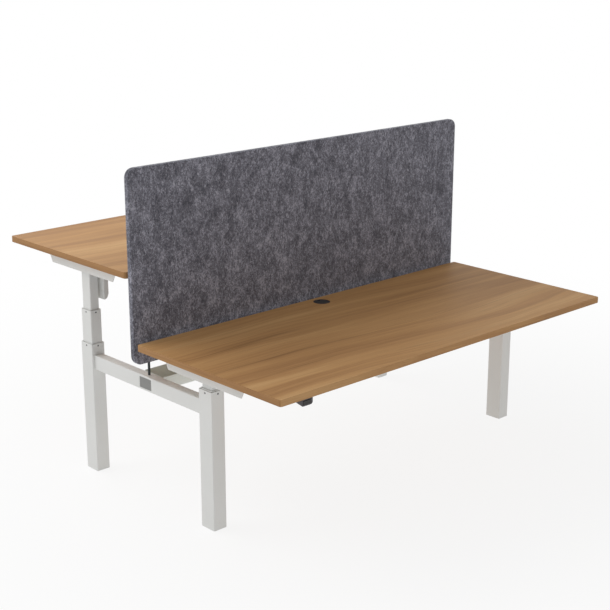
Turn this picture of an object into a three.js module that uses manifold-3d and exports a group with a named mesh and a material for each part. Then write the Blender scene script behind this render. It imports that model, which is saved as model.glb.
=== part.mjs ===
// A back-to-back sit-stand bench for two people: two wood worktops, each on its own pair of
// three-stage lifting columns, on one shared steel frame with a felt screen along the middle.
// Millimetres, +Z up. X runs along the bench, the front workplace is on the -Y side, and the
// origin is on the floor under the middle of the bench.
import * as THREE from "three";
import { mergeVertices } from "three/addons/utils/BufferGeometryUtils.js";
import Module from "manifold-3d";

const wasm = await Module();
wasm.setup();

// Fits: the gap between faces that are fixed together, and between faces that slide.
const SEAT = 0.3;
const RUN = 0.3;

// Worktops, and how far the rear one is raised above the front one.
const TOP_LENGTH = 1800;
const TOP_DEPTH = 800;
const TOP_THICKNESS = 25;
const TOP_CORNER = 10;
const SPINE_GAP = 60;
const REAR_LIFT = 267;
const MIDDLE_SHARE = 0.5;

// Columns: where they stand under a worktop, their tubes and the collars that guide them.
const COLUMN_END_INSET = 74;
const COLUMN_BACK_INSET = 345;
const OUTER_WIDTH = 60;
const OUTER_DEPTH = 75;
const STAGE_STEP = 10;
const TUBE_WALL = 2;
const TUBE_CORNER = 4;
const LEAST_CORNER = 0.5;
const OUTER_TOP = 546;
const MIDDLE_SHOW = 4;
const INNER_SHOW = 23.7;
const TUBE_END_GAP = 8;
const GLIDE_HEIGHT = 40;
const GLIDE_INSET = 1;
const BOSS_DIAMETER = 7;
const BOSS_DROP = 9.5;
const BOSS_RECESS = 0.4;

// Levelling feet and the base plates that they screw into.
const PAD_HEIGHT = 3;
const PAD_DIAMETER = 44;
const PAD_BEVEL = 1;
const STUD_DIAMETER = 8;
const STUD_SHOW = 12;
const BASE_PLATE = 8;

// Crossbars, rails and the column heads under a worktop.
const CROSSBAR_LENGTH = 465;
const CROSSBAR_WIDTH = 70;
const CROSSBAR_HEIGHT = 46;
const CROSSBAR_RAKE = 24;
const CROSSBAR_SHEET = 2.5;
const HEAD_RISE = 6;
const HEAD_PLATE = 5;
const HEAD_LENGTH = 150;
const RAIL_WIDTH = 40;
const RAIL_HEIGHT = 25;
const RAIL_WALL = 2;
const RAIL_SPREAD = 300;

// Drive units and lift spindles.
const MOTOR_WIDTH = 26;
const MOTOR_DEPTH = 56;
const MOTOR_DROP = 117;
const MOTOR_SHIFT = 22;
const MOTOR_GAP = 1.5;
const MOTOR_ROUND = 12;
const MOTOR_CORNER = 24;
const GEARBOX_REACH = 24;
const NOTCH_GAP = 1;
const SPINDLE_DIAMETER = 12;
const COLLAR_DIAMETER = 20;
const COLLAR_HEIGHT = 6;

// Cable grommet in each worktop.
const GROMMET_BACK_INSET = 56;
const GROMMET_HOLE = 60;
const GROMMET_RIM = 70;
const RIM_THICKNESS = 2.5;
const LINER_WALL = 2.7;
const LEDGE_WIDTH = 2.5;
const LID_THICKNESS = 4;
const CABLE_SLOT_WIDTH = 18;
const CABLE_SLOT_DEPTH = 13;

// Control box under each worktop, with its sockets.
const BOX_LENGTH = 240;
const BOX_WIDTH = 90;
const BOX_HEIGHT = 36;
const BOX_CORNER = 4;
const BOX_OFFSET = 350;
const EAR_LENGTH = 14;
const EAR_THICKNESS = 3;
const SOCKET_DIAMETER = 14;
const SOCKET_DEPTH = 9;
const SOCKET_PITCH = 30;
const INLET_WIDTH = 26;
const INLET_HEIGHT = 20;
const INLET_DEPTH = 14;
const INLET_OFFSET = 85;

// Handset under the front edge of each worktop, and its rocker.
const HANDSET_END_INSET = 125;
const HANDSET_SETBACK = 5;
const HANDSET_WIDTH = 54;
const HANDSET_HEIGHT = 26;
const HANDSET_DEPTH = 72;
const HANDSET_TAIL = 12;
const HANDSET_CORNER = 10;
const ROCKER_WIDTH = 36;
const ROCKER_HEIGHT = 13;
const ROCKER_PROUD = 2.5;
const ROCKER_DISH = 1.2;
const ROCKER_FLANK = 1;
const ROCKER_TAIL = 8;
const ROCKER_TAIL_HEIGHT = 5;
const ROCKER_SWING_GAP = 1.2;
const POCKET_DEPTH = 12;
const PIVOT_DEPTH = 4;
const PIVOT_DIAMETER = 3;
const PIVOT_LENGTH = 2;

// End beams, beam covers, cable tray, screen posts and screen.
const BEAM_WIDTH = 40;
const BEAM_HEIGHT = 60;
const BEAM_DROP = 45;
const BEAM_WALL = 2.5;
const WINDOW_LENGTH = 73;
const WINDOW_HEIGHT = 44;
const WINDOW_CORNER = 2;
const COVER_RECESS = 0.5;
const COVER_LIP = 3;
const COVER_LIP_THICKNESS = 2;
const TRAY_WIDTH = 120;
const TRAY_HEIGHT = 52;
const TRAY_SHEET = 2;
const POST_DIAMETER = 10;
const POST_SHOW = 54;
const POST_EMBED = 60;
const SCREEN_HEIGHT = 750;
const SCREEN_THICKNESS = 24;
const SCREEN_CORNER = 35;

// How finely round shapes are divided.
const ARC_STEPS = 2;
const SCREEN_ARC_STEPS = 5;
const PIN_STEPS = 12;
const MOTOR_ARC_STEPS = 5;
const ROUND_STEPS = 36;

// Places that follow from the sizes above.
const COLUMN_X = TOP_LENGTH / 2 - COLUMN_END_INSET;
const COLUMN_Y = SPINE_GAP / 2 + COLUMN_BACK_INSET;
const TOP_Y = SPINE_GAP / 2 + TOP_DEPTH / 2;
const OUTER_LOW = PAD_HEIGHT + SEAT;
const STUD_TOP = OUTER_LOW + BASE_PLATE + STUD_SHOW;
const MIDDLE_LOW = STUD_TOP + TUBE_END_GAP;
const MIDDLE_TOP = OUTER_TOP + MIDDLE_SHOW;
const INNER_LOW = MIDDLE_LOW + TUBE_END_GAP;
const CROSSBAR_LOW = MIDDLE_TOP + INNER_SHOW;
const CROSSBAR_TOP = CROSSBAR_LOW + CROSSBAR_HEIGHT;
const UNDERSIDE = CROSSBAR_TOP + SEAT;
const TOP_SURFACE = UNDERSIDE + TOP_THICKNESS;
const HEAD_LOW = CROSSBAR_LOW + HEAD_RISE;
const HEAD_TOP = HEAD_LOW + HEAD_PLATE;
const GEARBOX_LOW = HEAD_TOP + SEAT;
const GEARBOX_TOP = CROSSBAR_TOP - CROSSBAR_SHEET - SEAT;
const MOTOR_NEAR = OUTER_WIDTH / 2 + MOTOR_GAP;
const BEAM_TOP = OUTER_TOP - BEAM_DROP;
const BEAM_LOW = BEAM_TOP - BEAM_HEIGHT;
const SCREEN_LOW = BEAM_TOP + POST_SHOW;
const RIM_TOP = TOP_SURFACE - SEAT;

// Finishes.
const OAK = { color: 0x9b7850, roughness: 0.55, metalness: 0 };
const WHITE_POWDER = { color: 0xdddcd8, roughness: 0.6, metalness: 0.1 };
const FELT = { color: 0x55535a, roughness: 0.95, metalness: 0 };
const BLACK_PLASTIC = { color: 0x2a2826, roughness: 0.5, metalness: 0 };
const CHARCOAL_PLASTIC = { color: 0x47434a, roughness: 0.5, metalness: 0 };
const GREY_PLASTIC = { color: 0x8c8c8a, roughness: 0.7, metalness: 0 };
const GLIDE_PLASTIC = { color: 0x5c5d5f, roughness: 0.5, metalness: 0 };
const DARK_STEEL = { color: 0x3d4142, roughness: 0.4, metalness: 0.8 };
const BRIGHT_STEEL = { color: 0x9a9da0, roughness: 0.3, metalness: 0.9 };

// Turns a flat outline's own axes so that its extrusion runs along X, or along -Y.
const AXIS_X = new THREE.Vector3(1, 0, 0);
const AXIS_Y = new THREE.Vector3(0, 1, 0);
const AXIS_Z = new THREE.Vector3(0, 0, 1);
const ALONG_X = new THREE.Matrix4().makeBasis(AXIS_Y, AXIS_Z, AXIS_X);
const ALONG_Y = new THREE.Matrix4().makeBasis(AXIS_X, AXIS_Z, AXIS_Y.clone().negate());

// A closed geometry as a solid that can be joined and cut, and back again.
function solid(geometry) {
  const bare = geometry.clone();
  bare.deleteAttribute("normal");
  bare.deleteAttribute("uv");
  const merged = mergeVertices(bare);
  return new wasm.Manifold(
    new wasm.Mesh({
      numProp: 3,
      vertProperties: merged.attributes.position.array,
      triVerts: new Uint32Array(merged.index.array),
    }),
  );
}

function surface(made) {
  const mesh = made.getMesh();
  const geometry = new THREE.BufferGeometry();
  geometry.setAttribute("position", new THREE.BufferAttribute(mesh.vertProperties, mesh.numProp));
  geometry.setIndex(new THREE.BufferAttribute(mesh.triVerts, 1));
  geometry.computeVertexNormals();
  return geometry;
}

// A rectangle with rounded corners, centred on its own origin.
function roundedRectangle(width, height, radius) {
  const x = width / 2 - radius;
  const y = height / 2 - radius;
  const quarter = Math.PI / 2;
  const outline = new THREE.Shape();
  outline.absarc(x, -y, radius, -quarter, 0);
  outline.absarc(x, y, radius, 0, quarter);
  outline.absarc(-x, y, radius, quarter, 2 * quarter);
  outline.absarc(-x, -y, radius, 2 * quarter, 3 * quarter);
  return outline;
}

function polygon(points) {
  return new THREE.Shape(points.map(([x, y]) => new THREE.Vector2(x, y)));
}

// A prism of an outline that stands upright from one height to another.
function upright(outline, low, high, steps = ARC_STEPS) {
  const options = { depth: high - low, bevelEnabled: false, curveSegments: steps };
  return solid(new THREE.ExtrudeGeometry(outline, options).translate(0, 0, low));
}

// A prism of an outline drawn in Y and Z, from one X to another.
function acrossX(outline, low, high, steps = ARC_STEPS) {
  const options = { depth: high - low, bevelEnabled: false, curveSegments: steps };
  const prism = new THREE.ExtrudeGeometry(outline, options).applyMatrix4(ALONG_X);
  return solid(prism.translate(low, 0, 0));
}

// A prism of an outline drawn in X and Z, from one Y to another.
function acrossY(outline, low, high, steps = ARC_STEPS) {
  const options = { depth: high - low, bevelEnabled: false, curveSegments: steps };
  const prism = new THREE.ExtrudeGeometry(outline, options).applyMatrix4(ALONG_Y);
  return solid(prism.translate(0, high, 0));
}

function block(low, high) {
  const size = high.map((value, i) => value - low[i]);
  const middle = high.map((value, i) => (value + low[i]) / 2);
  return solid(new THREE.BoxGeometry(...size).translate(...middle));
}

// Round bars along each axis, centred on the axis through the given point.
function pinX(diameter, length, x, y, z, steps = PIN_STEPS) {
  const pin = new THREE.CylinderGeometry(diameter / 2, diameter / 2, length, steps);
  return solid(pin.rotateZ(-Math.PI / 2).translate(x, y, z));
}

function pinY(diameter, length, x, y, z, steps = PIN_STEPS) {
  const pin = new THREE.CylinderGeometry(diameter / 2, diameter / 2, length, steps);
  return solid(pin.translate(x, y, z));
}

function pinZ(diameter, x, y, low, high, steps = PIN_STEPS) {
  const pin = new THREE.CylinderGeometry(diameter / 2, diameter / 2, high - low, steps);
  return solid(pin.rotateX(Math.PI / 2).translate(x, y, (low + high) / 2));
}

// A turned piece from its half section, given as radius and height from the bottom up.
function turned(section, steps = ROUND_STEPS) {
  const points = section.map(([radius, height]) => new THREE.Vector2(radius, height));
  return solid(new THREE.LatheGeometry(points, steps).rotateX(Math.PI / 2));
}

// Column tubes. Stage 0 is the outer tube, 1 the middle and 2 the inner, each a step smaller.
const stageWidth = (stage) => OUTER_WIDTH - stage * STAGE_STEP;
const stageDepth = (stage) => OUTER_DEPTH - stage * STAGE_STEP;
const innerCorner = Math.max(TUBE_CORNER - TUBE_WALL, LEAST_CORNER);

function stageBar(stage, grow, radius, low, high) {
  const outline = roundedRectangle(stageWidth(stage) + 2 * grow, stageDepth(stage) + 2 * grow, radius);
  return upright(outline, low, high);
}

// Round bars through all four walls of a stage, a boss drop below its top.
function wallPins(stage, diameter, grow, top) {
  const z = top - BOSS_DROP;
  const alongX = pinX(diameter, stageWidth(stage) + 2 * grow, 0, 0, z);
  const alongY = pinY(diameter, stageDepth(stage) + 2 * grow, 0, 0, z);
  return alongX.add(alongY);
}

function bossHoles(stage, top) {
  return wallPins(stage, BOSS_DIAMETER + 2 * SEAT, TUBE_WALL, top);
}

function outerTube() {
  const full = stageBar(0, 0, TUBE_CORNER, OUTER_LOW, OUTER_TOP);
  const bore = stageBar(0, -TUBE_WALL, innerCorner, OUTER_LOW + BASE_PLATE, OUTER_TOP + TUBE_WALL);
  const studHole = pinZ(STUD_DIAMETER + 2 * RUN, 0, 0, OUTER_LOW - BASE_PLATE, OUTER_LOW + 2 * BASE_PLATE);
  return surface(full.subtract(bore).subtract(studHole).subtract(bossHoles(0, OUTER_TOP)));
}

function middleTube() {
  const full = stageBar(1, 0, TUBE_CORNER, MIDDLE_LOW, MIDDLE_TOP);
  const bore = stageBar(1, -TUBE_WALL, innerCorner, MIDDLE_LOW - TUBE_WALL, MIDDLE_TOP + TUBE_WALL);
  return surface(full.subtract(bore).subtract(bossHoles(1, MIDDLE_TOP)));
}

// A block that clears the motor, on the inward side of a column, between two heights and from
// one distance off the column's axis to another.
function motorNotch(inward, near, far, low, high) {
  const half = MOTOR_DEPTH / 2 + NOTCH_GAP;
  const ends = [inward * near, inward * far];
  return block(
    [Math.min(...ends), MOTOR_SHIFT - half, low],
    [Math.max(...ends), MOTOR_SHIFT + half, high],
  );
}

// The inner tube carries a welded head plate that is fixed inside the crossbar.
function innerTube(inward) {
  const half = CROSSBAR_WIDTH / 2 - CROSSBAR_SHEET - SEAT;
  const full = stageBar(2, 0, TUBE_CORNER, INNER_LOW, HEAD_LOW);
  const head = block([-half, -HEAD_LENGTH / 2, HEAD_LOW], [half, HEAD_LENGTH / 2, HEAD_TOP]);
  const bore = stageBar(2, -TUBE_WALL, innerCorner, INNER_LOW - TUBE_WALL, HEAD_LOW);
  const spindleHole = pinZ(SPINDLE_DIAMETER + 2 * RUN, 0, 0, HEAD_LOW - HEAD_PLATE, HEAD_TOP + HEAD_PLATE);
  const notch = motorNotch(inward, MOTOR_NEAR - NOTCH_GAP, CROSSBAR_WIDTH, HEAD_LOW - SEAT, HEAD_TOP + SEAT);
  return surface(full.add(head).subtract(bore).subtract(spindleHole).subtract(notch));
}

// A collar in the top of one stage that guides the next one, held by bosses in the wall holes.
function glide(stage, top) {
  const high = top - GLIDE_INSET;
  const low = high - GLIDE_HEIGHT;
  const ring = stageBar(stage, -TUBE_WALL - SEAT, innerCorner, low, high);
  const bosses = wallPins(stage, BOSS_DIAMETER, -BOSS_RECESS, top);
  const bore = stageBar(stage + 1, RUN, TUBE_CORNER + RUN, low - GLIDE_HEIGHT, high + GLIDE_HEIGHT);
  return surface(ring.add(bosses).subtract(bore));
}

function levellingFoot() {
  const pad = PAD_DIAMETER / 2;
  const stud = STUD_DIAMETER / 2;
  const section = [
    [0, 0],
    [pad - PAD_BEVEL, 0],
    [pad, PAD_BEVEL],
    [pad, PAD_HEIGHT],
    [stud, PAD_HEIGHT],
    [stud, STUD_TOP],
    [0, STUD_TOP],
  ];
  return surface(turned(section, PIN_STEPS));
}

// The spindle hangs from the gearbox through the head plate, with a thrust collar under the plate.
function spindle() {
  const rod = SPINDLE_DIAMETER / 2;
  const collar = COLLAR_DIAMETER / 2;
  const collarTop = HEAD_LOW - SEAT;
  const section = [
    [0, INNER_LOW],
    [rod, INNER_LOW],
    [rod, collarTop - COLLAR_HEIGHT],
    [collar, collarTop - COLLAR_HEIGHT],
    [collar, collarTop],
    [rod, collarTop],
    [rod, HEAD_TOP],
    [0, HEAD_TOP],
  ];
  return surface(turned(section, PIN_STEPS));
}

// Gearbox inside the crossbar, with the motor's case hanging beside the column, its upright edges and
// its far lower corner rounded. inward is +1 or -1, the way along X to the middle of the bench.
function driveUnit(inward) {
  const far = MOTOR_NEAR + MOTOR_WIDTH;
  const low = CROSSBAR_LOW - MOTOR_DROP;
  const corner = new THREE.Vector2(far - MOTOR_CORNER, low + MOTOR_CORNER);
  const side = new THREE.Shape();
  side.moveTo(inward * MOTOR_NEAR, GEARBOX_TOP);
  side.lineTo(inward * MOTOR_NEAR, low);
  side.lineTo(inward * corner.x, low);
  if (inward > 0) side.absarc(corner.x, corner.y, MOTOR_CORNER, -Math.PI / 2, 0);
  else side.absarc(-corner.x, corner.y, MOTOR_CORNER, -Math.PI / 2, -Math.PI, true);
  side.lineTo(inward * far, GEARBOX_TOP);
  const near = MOTOR_SHIFT - MOTOR_DEPTH / 2;
  const back = MOTOR_SHIFT + MOTOR_DEPTH / 2;
  const middle = inward * (MOTOR_NEAR + MOTOR_WIDTH / 2);
  const plan = roundedRectangle(MOTOR_WIDTH + 2 * MOTOR_ROUND, MOTOR_DEPTH, MOTOR_ROUND);
  const planMiddle = middle - inward * MOTOR_ROUND;
  const rounded = upright(plan, low, GEARBOX_TOP, MOTOR_ARC_STEPS).translate(planMiddle, MOTOR_SHIFT, 0);
  const motor = rounded.intersect(acrossY(side, near, back, MOTOR_ARC_STEPS));
  const ends = [-inward * GEARBOX_REACH, middle];
  const gearbox = block([Math.min(...ends), near, GEARBOX_LOW], [Math.max(...ends), back, GEARBOX_TOP]);
  return surface(gearbox.add(motor));
}

// A channel that is open below and at its raked ends, with a notch for the gearbox.
function crossbar(inward) {
  const long = CROSSBAR_LENGTH / 2;
  const short = long - CROSSBAR_RAKE;
  const side = polygon([
    [-short, CROSSBAR_LOW],
    [short, CROSSBAR_LOW],
    [long, CROSSBAR_TOP],
    [-long, CROSSBAR_TOP],
  ]);
  const half = CROSSBAR_WIDTH / 2;
  const inside = half - CROSSBAR_SHEET;
  const below = CROSSBAR_LOW - CROSSBAR_SHEET;
  const webLow = CROSSBAR_TOP - CROSSBAR_SHEET;
  const hollow = block([-inside, -CROSSBAR_LENGTH, below], [inside, CROSSBAR_LENGTH, webLow]);
  const notch = motorNotch(inward, inside - CROSSBAR_SHEET, half + CROSSBAR_SHEET, below, webLow);
  return surface(acrossX(side, -half, half).subtract(hollow).subtract(notch));
}

function rail() {
  const half = COLUMN_X - CROSSBAR_WIDTH / 2 - SEAT;
  const outside = roundedRectangle(RAIL_WIDTH, RAIL_HEIGHT, 2 * RAIL_WALL);
  const inside = roundedRectangle(RAIL_WIDTH - 2 * RAIL_WALL, RAIL_HEIGHT - 2 * RAIL_WALL, RAIL_WALL);
  const tube = acrossX(outside, -half, half).subtract(acrossX(inside, -half - RAIL_WALL, half + RAIL_WALL));
  return surface(tube.translate(0, 0, CROSSBAR_TOP - RAIL_HEIGHT / 2));
}

function worktop() {
  const board = upright(roundedRectangle(TOP_LENGTH, TOP_DEPTH, TOP_CORNER), UNDERSIDE, TOP_SURFACE);
  const y = TOP_DEPTH / 2 - GROMMET_BACK_INSET;
  const low = UNDERSIDE - TOP_THICKNESS;
  const high = TOP_SURFACE + TOP_THICKNESS;
  const rimLow = RIM_TOP - RIM_THICKNESS - SEAT;
  const hole = pinZ(GROMMET_HOLE, 0, y, low, high, ROUND_STEPS);
  const rimSeat = pinZ(GROMMET_RIM + 2 * SEAT, 0, y, rimLow, high, ROUND_STEPS);
  return surface(board.subtract(hole).subtract(rimSeat));
}

// Radius of the liner's bore for the lid, and of the ledge that the lid lies on.
const linerRadius = GROMMET_HOLE / 2 - SEAT;
const lidBore = linerRadius - LINER_WALL;
const ledgeRadius = lidBore - LEDGE_WIDTH;
const ledgeTop = RIM_TOP - LID_THICKNESS - SEAT;

function grommetLiner() {
  const rim = GROMMET_RIM / 2;
  const rimLow = RIM_TOP - RIM_THICKNESS;
  const section = [
    [ledgeRadius, UNDERSIDE],
    [linerRadius, UNDERSIDE],
    [linerRadius, rimLow],
    [rim, rimLow],
    [rim, RIM_TOP],
    [lidBore, RIM_TOP],
    [lidBore, ledgeTop],
    [ledgeRadius, ledgeTop],
    [ledgeRadius, UNDERSIDE],
  ];
  return surface(turned(section));
}

function grommetLid() {
  const radius = lidBore - RUN;
  const low = ledgeTop + SEAT;
  const disc = pinZ(2 * radius, 0, 0, low, RIM_TOP, ROUND_STEPS);
  const half = CABLE_SLOT_WIDTH / 2;
  const end = radius - CABLE_SLOT_DEPTH + half;
  const deep = low - LID_THICKNESS;
  const above = RIM_TOP + LID_THICKNESS;
  const slot = block([-half, end, deep], [half, radius + half, above]);
  const slotEnd = pinZ(CABLE_SLOT_WIDTH, 0, end, deep, above);
  return surface(disc.subtract(slot.add(slotEnd)));
}

// A flat case with a screw ear at each end and a row of sockets along one side.
function controlBox() {
  const high = UNDERSIDE - SEAT;
  const low = high - BOX_HEIGHT;
  const face = BOX_WIDTH / 2;
  const middle = (low + high) / 2;
  const earHalf = BOX_LENGTH / 2 + EAR_LENGTH;
  const shell = upright(roundedRectangle(BOX_LENGTH, BOX_WIDTH, BOX_CORNER), low, high);
  const ears = upright(roundedRectangle(2 * earHalf, BOX_WIDTH / 2, BOX_CORNER), high - EAR_THICKNESS, high);
  const inletLeft = -INLET_OFFSET - INLET_WIDTH / 2;
  const inlet = block(
    [inletLeft, face - INLET_DEPTH, middle - INLET_HEIGHT / 2],
    [inletLeft + INLET_WIDTH, face + INLET_DEPTH, middle + INLET_HEIGHT / 2],
  );
  let made = shell.add(ears).subtract(inlet);
  for (const place of [-1, 0, 1]) {
    const x = INLET_OFFSET / 2 + place * SOCKET_PITCH;
    made = made.subtract(pinY(SOCKET_DIAMETER, 2 * SOCKET_DEPTH, x, face, middle));
  }
  return surface(made);
}

// Handset and rocker share an origin on the underside of the worktop, at the handset's front face.
const rockerMiddle = -SEAT - HANDSET_HEIGHT / 2;

function handset() {
  const half = HANDSET_WIDTH / 2;
  const low = -SEAT - HANDSET_HEIGHT;
  const outline = new THREE.Shape();
  outline.moveTo(-half, -SEAT);
  outline.absarc(-half + HANDSET_CORNER, low + HANDSET_CORNER, HANDSET_CORNER, Math.PI, 1.5 * Math.PI);
  outline.absarc(half - HANDSET_CORNER, low + HANDSET_CORNER, HANDSET_CORNER, 1.5 * Math.PI, 2 * Math.PI);
  outline.lineTo(half, -SEAT);
  const pocketHalf = ROCKER_WIDTH / 2 + RUN;
  const pocketHeight = ROCKER_HEIGHT / 2 + ROCKER_SWING_GAP;
  const pocket = block(
    [-pocketHalf, -POCKET_DEPTH, rockerMiddle - pocketHeight],
    [pocketHalf, POCKET_DEPTH, rockerMiddle + pocketHeight],
  );
  const wedge = polygon([
    [0, low],
    [HANDSET_DEPTH, -SEAT - HANDSET_TAIL],
    [HANDSET_DEPTH, -SEAT],
    [0, -SEAT],
  ]);
  const casing = acrossY(outline, 0, HANDSET_DEPTH).intersect(acrossX(wedge, -half, half));
  const housing = casing.subtract(pocket);
  const holeLength = ROCKER_WIDTH + 2 * (RUN + PIVOT_LENGTH);
  const pivotHole = pinX(PIVOT_DIAMETER + 2 * RUN, holeLength, 0, PIVOT_DEPTH, rockerMiddle);
  return surface(housing.subtract(pivotHole));
}

// A dished key that tips about pins in the handset's pocket: up raises the worktop, down lowers it.
function rocker() {
  const half = ROCKER_HEIGHT / 2;
  const tail = ROCKER_TAIL_HEIGHT / 2;
  const section = polygon([
    [-ROCKER_PROUD, -half],
    [ROCKER_FLANK, -half],
    [ROCKER_TAIL, -tail],
    [ROCKER_TAIL, tail],
    [ROCKER_FLANK, half],
    [-ROCKER_PROUD, half],
    [-ROCKER_PROUD + ROCKER_DISH, 0],
  ]);
  const key = acrossX(section, -ROCKER_WIDTH / 2, ROCKER_WIDTH / 2);
  const pivot = pinX(PIVOT_DIAMETER, ROCKER_WIDTH + 2 * PIVOT_LENGTH, 0, PIVOT_DEPTH, 0);
  return surface(key.add(pivot).translate(0, 0, rockerMiddle));
}

// A box beam between the two columns of one end, with a window in its outer face and a post hole.
function endBeam(outward) {
  const half = COLUMN_Y - OUTER_DEPTH / 2 - SEAT;
  const middle = (BEAM_LOW + BEAM_TOP) / 2;
  const outside = roundedRectangle(BEAM_WIDTH, BEAM_HEIGHT, TUBE_CORNER);
  const inner = Math.max(TUBE_CORNER - BEAM_WALL, LEAST_CORNER);
  const inside = roundedRectangle(BEAM_WIDTH - 2 * BEAM_WALL, BEAM_HEIGHT - 2 * BEAM_WALL, inner);
  const bore = acrossY(inside, -half - BEAM_WALL, half + BEAM_WALL);
  const tube = acrossY(outside, -half, half).subtract(bore).translate(0, 0, middle);
  const window = acrossX(
    roundedRectangle(WINDOW_LENGTH, WINDOW_HEIGHT, WINDOW_CORNER),
    outward * BEAM_WIDTH / 2 - 2 * BEAM_WALL,
    outward * BEAM_WIDTH / 2 + 2 * BEAM_WALL,
  );
  const postHole = pinZ(POST_DIAMETER + 2 * SEAT, 0, 0, middle, BEAM_TOP + BEAM_WALL);
  return surface(tube.subtract(window.translate(0, 0, middle)).subtract(postHole));
}

// A plastic plate that fills the beam's window, with a lip behind the wall at each end.
function beamCover(outward) {
  const face = BEAM_WIDTH / 2 - COVER_RECESS;
  const lipFace = BEAM_WIDTH / 2 - BEAM_WALL - SEAT;
  const lipBack = lipFace - COVER_LIP_THICKNESS;
  const height = WINDOW_HEIGHT - 2 * SEAT;
  const plate = roundedRectangle(WINDOW_LENGTH - 2 * SEAT, height, WINDOW_CORNER);
  const lip = roundedRectangle(WINDOW_LENGTH + 2 * COVER_LIP, height, WINDOW_CORNER);
  const span = (a, b) => [Math.min(outward * a, outward * b), Math.max(outward * a, outward * b)];
  const made = acrossX(plate, ...span(lipBack, face)).add(acrossX(lip, ...span(lipBack, lipFace)));
  return surface(made.translate(0, 0, (BEAM_LOW + BEAM_TOP) / 2));
}

function screenPost() {
  const low = BEAM_LOW + BEAM_WALL + SEAT;
  return surface(pinZ(POST_DIAMETER, 0, 0, low, SCREEN_LOW + POST_EMBED));
}

function cableTray() {
  const half = COLUMN_X - BEAM_WIDTH / 2 - SEAT;
  const side = TRAY_WIDTH / 2;
  const low = BEAM_TOP - TRAY_HEIGHT;
  const trough = block([-half, -side, low], [half, side, BEAM_TOP]);
  const hollow = block(
    [-half + TRAY_SHEET, -side + TRAY_SHEET, low + TRAY_SHEET],
    [half - TRAY_SHEET, side - TRAY_SHEET, BEAM_TOP + TRAY_HEIGHT],
  );
  return surface(trough.subtract(hollow));
}

function screen() {
  const outline = roundedRectangle(TOP_LENGTH, SCREEN_HEIGHT, SCREEN_CORNER);
  const half = SCREEN_THICKNESS / 2;
  let board = acrossY(outline, -half, half, SCREEN_ARC_STEPS).translate(0, 0, SCREEN_LOW + SCREEN_HEIGHT / 2);
  const holeTop = SCREEN_LOW + POST_EMBED + SEAT;
  for (const x of [-COLUMN_X, COLUMN_X]) {
    board = board.subtract(pinZ(POST_DIAMETER + 2 * SEAT, x, 0, SCREEN_LOW - POST_EMBED, holeTop));
  }
  return surface(board);
}

function addPiece(group, name, geometry, finish) {
  const mesh = new THREE.Mesh(geometry, new THREE.MeshStandardMaterial(finish));
  mesh.name = name;
  group.add(mesh);
}

function addGroup(parent, x, y, z) {
  const group = new THREE.Group();
  group.position.set(x, y, z);
  parent.add(group);
  return group;
}

// One column with the crossbar and drive unit on its head, its stages raised by the lift.
function addColumn(station, name, inward, lift) {
  const x = -inward * COLUMN_X;
  const base = addGroup(station, x, -COLUMN_Y, 0);
  addPiece(base, `${name}_levelling_foot`, levellingFoot(), BLACK_PLASTIC);
  addPiece(base, `${name}_outer_tube`, outerTube(), WHITE_POWDER);
  addPiece(base, `${name}_outer_glide`, glide(0, OUTER_TOP), GLIDE_PLASTIC);
  const middle = addGroup(station, x, -COLUMN_Y, lift * MIDDLE_SHARE);
  addPiece(middle, `${name}_middle_tube`, middleTube(), WHITE_POWDER);
  addPiece(middle, `${name}_middle_glide`, glide(1, MIDDLE_TOP), GLIDE_PLASTIC);
  const head = addGroup(station, x, -COLUMN_Y, lift);
  addPiece(head, `${name}_inner_tube`, innerTube(inward), WHITE_POWDER);
  addPiece(head, `${name}_lift_spindle`, spindle(), BRIGHT_STEEL);
  addPiece(head, `${name}_drive_unit`, driveUnit(inward), WHITE_POWDER);
  addPiece(head, `${name}_crossbar`, crossbar(inward), WHITE_POWDER);
}

// One worktop with the rails, control box, handset and grommet that it carries.
function addDesk(station, name, lift) {
  const top = addGroup(station, 0, -TOP_Y, lift);
  addPiece(top, `${name}_worktop`, worktop(), OAK);
  const grommet = addGroup(top, 0, TOP_DEPTH / 2 - GROMMET_BACK_INSET, 0);
  addPiece(grommet, `${name}_grommet_liner`, grommetLiner(), BLACK_PLASTIC);
  addPiece(grommet, `${name}_grommet_lid`, grommetLid(), BLACK_PLASTIC);
  const under = addGroup(station, 0, -COLUMN_Y, lift);
  const userRail = addGroup(under, 0, -RAIL_SPREAD / 2, 0);
  addPiece(userRail, `${name}_user_rail`, rail(), WHITE_POWDER);
  const spineRail = addGroup(under, 0, RAIL_SPREAD / 2, 0);
  addPiece(spineRail, `${name}_spine_rail`, rail(), WHITE_POWDER);
  const box = addGroup(under, -BOX_OFFSET, 0, 0);
  addPiece(box, `${name}_control_box`, controlBox(), CHARCOAL_PLASTIC);
  const handsetX = HANDSET_END_INSET - TOP_LENGTH / 2;
  const controls = addGroup(top, handsetX, HANDSET_SETBACK - TOP_DEPTH / 2, UNDERSIDE);
  addPiece(controls, `${name}_handset`, handset(), CHARCOAL_PLASTIC);
  addPiece(controls, `${name}_rocker`, rocker(), BLACK_PLASTIC);
}

const bench = new THREE.Group();

// The rear station is the front one turned half a turn about the middle of the bench.
const stations = [
  { name: "front", turn: 0, lift: 0, sides: ["left", "right"] },
  { name: "rear", turn: Math.PI, lift: REAR_LIFT, sides: ["right", "left"] },
];
for (const { name, turn, lift, sides } of stations) {
  const station = addGroup(bench, 0, 0, 0);
  station.rotation.z = turn;
  addColumn(station, `${name}_${sides[0]}`, 1, lift);
  addColumn(station, `${name}_${sides[1]}`, -1, lift);
  addDesk(station, name, lift);
}

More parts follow.
